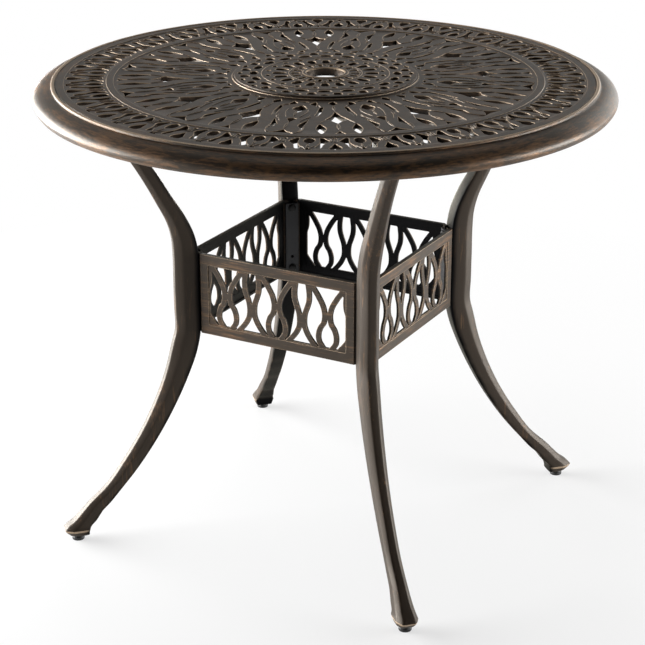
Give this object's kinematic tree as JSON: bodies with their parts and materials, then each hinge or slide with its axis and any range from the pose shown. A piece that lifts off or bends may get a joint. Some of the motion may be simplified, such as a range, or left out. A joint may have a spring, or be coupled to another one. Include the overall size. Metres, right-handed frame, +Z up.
{
  "type": "umbrella table",
  "caption": "Round cast patio table with an openwork top, rolled rim and umbrella hole, on curved legs joined by openwork side panels, with screw-out levelling glides.",
  "frame": {"origin": "on the floor under the centre of the round top", "axes": "+Z up. The legs stand on the diagonals and the side panels face -Y, +X, +Y and -X. The picture is taken from about 29 degrees to the right of -Y."},
  "size_m": [0.8928, 0.8928, 0.7438],
  "materials": {
    "bronze_top": "brushed antique bronze paint, satin",
    "bronze_leg": "brushed antique bronze paint, satin",
    "bronze_panel": "brushed antique bronze paint, satin",
    "dark_strip": "black paint, satin",
    "zinc_bolt": "dark plated steel",
    "black_glide": "black moulded plastic"
  },
  "bodies": {
    "root": {"tabletop_casting": "bronze_top", "leg_right": "bronze_leg", "corner_strip_right": "dark_strip", "corner_bolt_low_right": "zinc_bolt", "corner_bolt_high_right": "zinc_bolt", "top_bolt_a_right": "zinc_bolt", "top_bolt_b_right": "zinc_bolt", "top_washer_a_right": "zinc_bolt", "top_washer_b_right": "zinc_bolt", "leg_back": "bronze_leg", "corner_strip_back": "dark_strip", "corner_bolt_low_back": "zinc_bolt", "corner_bolt_high_back": "zinc_bolt", "top_bolt_a_back": "zinc_bolt", "top_bolt_b_back": "zinc_bolt", "top_washer_a_back": "zinc_bolt", "top_washer_b_back": "zinc_bolt", "leg_left": "bronze_leg", "corner_strip_left": "dark_strip", "corner_bolt_low_left": "zinc_bolt", "corner_bolt_high_left": "zinc_bolt", "top_bolt_a_left": "zinc_bolt", "top_bolt_b_left": "zinc_bolt", "top_washer_a_left": "zinc_bolt", "top_washer_b_left": "zinc_bolt", "leg_front": "bronze_leg", "corner_strip_front": "dark_strip", "corner_bolt_low_front": "zinc_bolt", "corner_bolt_high_front": "zinc_bolt", "top_bolt_a_front": "zinc_bolt", "top_bolt_b_front": "zinc_bolt", "top_washer_a_front": "zinc_bolt", "top_washer_b_front": "zinc_bolt", "side_panel_front_left": "bronze_panel", "side_panel_front_right": "bronze_panel", "side_panel_back_right": "bronze_panel", "side_panel_back_left": "bronze_panel"},
    "glide_right": {"levelling_glide_right": "black_glide"},
    "glide_back": {"levelling_glide_back": "black_glide"},
    "glide_left": {"levelling_glide_left": "black_glide"},
    "glide_front": {"levelling_glide_front": "black_glide"}
  },
  "joints": [
    {"name": "glide_right_screw", "type": "slide", "parent": "root", "child": "glide_right", "axis": [0, 0, -1], "range_m": [0, 0.008]},
    {"name": "glide_back_screw", "type": "slide", "parent": "root", "child": "glide_back", "axis": [0, 0, -1], "range_m": [0, 0.008]},
    {"name": "glide_left_screw", "type": "slide", "parent": "root", "child": "glide_left", "axis": [0, 0, -1], "range_m": [0, 0.008]},
    {"name": "glide_front_screw", "type": "slide", "parent": "root", "child": "glide_front", "axis": [0, 0, -1], "range_m": [0, 0.008]}
  ]
}
